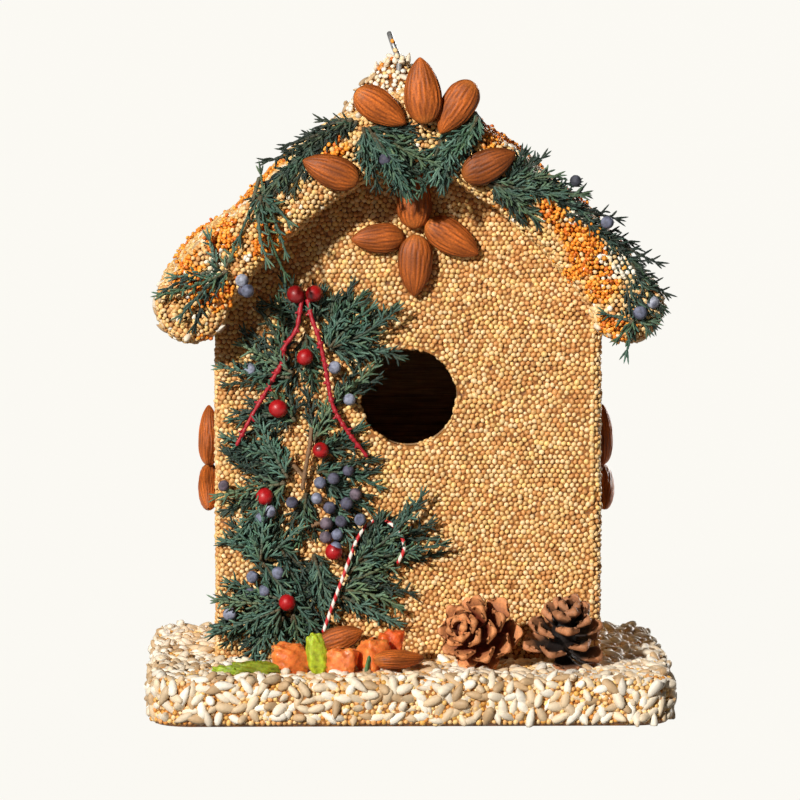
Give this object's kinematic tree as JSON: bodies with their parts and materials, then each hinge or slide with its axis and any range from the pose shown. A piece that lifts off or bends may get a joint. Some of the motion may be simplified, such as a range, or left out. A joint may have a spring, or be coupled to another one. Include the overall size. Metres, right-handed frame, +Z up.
{
  "type": "seed-coated nest house",
  "caption": "Small wooden nest house coated in bird seed, with a curved gable roof, round entrance, wire hanging loop, dressed front and a swivelling clean-out cover under its floor",
  "frame": {"origin": "the middle of the base's footprint, on the surface the house stands on", "axes": "+Z up, -Y is the front with the entrance, +X to the right seen from the front"},
  "size_m": [0.199, 0.167, 0.2624],
  "materials": {
    "wood": "raw softwood, lightly stained by glue",
    "wall_seed": "round millet seed set close in clear glue",
    "roof_seed": "millet seed with orange and white patches",
    "base_seed": "pale safflower seed over millet",
    "galvanised_wire": "dull galvanised wire",
    "screw_steel": "zinc plated screw",
    "almond": "brown almond skin with lengthwise grooves",
    "papaya": "dried papaya, slightly translucent",
    "green_fruit": "dried green fruit, slightly translucent",
    "pinecone_light": "open pinecone, light brown",
    "pinecone_dark": "open pinecone, dark brown with pale tips",
    "juniper": "dried blue-green juniper",
    "red_berry": "glossy red berry",
    "blue_berry": "blue juniper berry with pale bloom",
    "red_twig": "dyed red twig",
    "cane": "glossy white with red spiral stripes"
  },
  "bodies": {
    "house": {"base_board": "wood", "front_wall": "wood", "back_wall": "wood", "left_wall": "wood", "right_wall": "wood", "roof_panel_left": "wood", "roof_panel_right": "wood", "ridge_block": "wood", "base_seed_coat": "base_seed", "front_seed_coat": "wall_seed", "back_seed_coat": "wall_seed", "left_seed_coat": "wall_seed", "right_seed_coat": "wall_seed", "roof_seed_coat_left": "roof_seed", "roof_seed_coat_right": "roof_seed", "ridge_mound": "roof_seed", "hanger_wire": "galvanised_wire", "cleanout_screw": "screw_steel", "gable_almonds": "almond", "ridge_almonds": "almond", "verge_almonds": "almond", "left_side_almonds": "almond", "right_side_almonds": "almond", "base_almonds": "almond", "papaya_chunks": "papaya", "green_fruit": "green_fruit", "pinecone_left": "pinecone_light", "pinecone_right": "pinecone_dark", "juniper_front_upper": "juniper", "juniper_front_middle": "juniper", "juniper_front_lower": "juniper", "juniper_left_slope": "juniper", "juniper_left_eave": "juniper", "juniper_ridge": "juniper", "juniper_right_slope": "juniper", "juniper_right_eave": "juniper", "red_berries": "red_berry", "juniper_berries": "blue_berry", "red_twig_left": "red_twig", "red_twig_right": "red_twig", "candy_cane": "cane"},
    "cover": {"cleanout_cover": "wood"}
  },
  "joints": [
    {"name": "cleanout_swivel", "type": "hinge", "parent": "house", "child": "cover", "pos_m": [0.04, 0.023, 0.004], "axis": [0, 0, 1], "range_deg": [-35, 120]}
  ]
}
